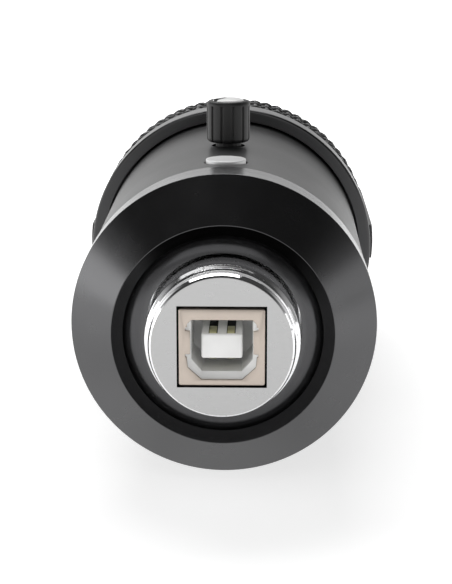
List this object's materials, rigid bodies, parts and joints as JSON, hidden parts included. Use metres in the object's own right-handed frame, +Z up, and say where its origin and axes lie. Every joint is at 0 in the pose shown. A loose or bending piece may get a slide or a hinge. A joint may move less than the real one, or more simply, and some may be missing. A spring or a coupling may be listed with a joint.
{
  "type": "usb studio condenser microphone",
  "caption": "Black studio condenser microphone lying on its side: conical base ring round a chrome USB barrel, fluted gain knob, push button, collar and wedge-shaped woven grille.",
  "frame": {"origin": "centre of the bounding box on the surface that the microphone lies on", "axes": "+Y along the body towards the grille, -Y the way the USB socket faces, +Z up through the gain knob, which is the front of the microphone"},
  "size_m": [0.0488, 0.1308, 0.0538],
  "materials": {
    "anodised_black": "turned aluminium, black anodised, satin",
    "satin_black": "satin black paint on drawn metal tube",
    "chrome": "bright chrome plating, finely turned end face",
    "nickel": "warm nickel-plated sheet",
    "white_plastic": "white moulded plastic",
    "black_plastic": "black moulded plastic",
    "gold": "gold-flashed brass",
    "board_green": "green solder mask",
    "zinc": "bare die casting",
    "steel": "plain steel",
    "wire_black": "black painted steel wire",
    "spun_metal": "spun bright metal",
    "red_pvc": "red insulation"
  },
  "bodies": {
    "microphone": {"base_ring": "anodised_black", "connector_barrel": "chrome", "usb_shield": "nickel", "usb_insert": "white_plastic", "usb_contact_1": "gold", "usb_contact_2": "gold", "usb_contact_3": "gold", "usb_contact_4": "gold", "usb_board": "board_green", "usb_lead": "black_plastic", "body_tube": "satin_black", "collar_ring": "anodised_black", "side_screw_left": "steel", "side_screw_right": "steel", "chassis_plug": "zinc", "head_ring": "zinc", "chassis_bar_left": "zinc", "chassis_bar_right": "zinc", "chassis_screw_base_left": "steel", "chassis_screw_base_right": "steel", "chassis_screw_head_left": "steel", "chassis_screw_head_right": "steel", "main_board": "board_green", "board_screw_1": "steel", "board_screw_2": "steel", "board_screw_3": "steel", "board_screw_4": "steel", "codec_chip": "black_plastic", "preamp_chip": "black_plastic", "clock_crystal": "nickel", "capacitor_1": "steel", "capacitor_2": "steel", "control_body": "black_plastic", "control_bushing": "zinc", "switch_housing": "black_plastic", "switch_board": "board_green", "grille_front": "wire_black", "grille_back": "wire_black", "grille_band": "anodised_black", "grille_liner": "black_plastic", "capsule_deck": "board_green", "capsule_saddle": "black_plastic", "capsule_shell": "gold", "capsule_backplate": "nickel", "capsule_diaphragm": "gold", "capsule_lead_red": "red_pvc", "capsule_lead_black": "black_plastic"},
    "knob": {"knob_body": "black_plastic", "knob_cap": "white_plastic", "knob_pointer": "black_plastic", "control_shaft": "steel"},
    "button": {"button_cap": "spun_metal", "switch_plunger": "black_plastic"}
  },
  "joints": [
    {"name": "knob_turn", "type": "hinge", "parent": "microphone", "child": "knob", "pos_m": [0, -0.0234, 0.04682], "axis": [0, 0, -1], "range_deg": [-29, 271]},
    {"name": "button_press", "type": "slide", "parent": "microphone", "child": "button", "axis": [0, 0, -1], "range_m": [0, 0.0004], "stiffness_N_per_m": 400, "springref_m": -0.0005}
  ]
}
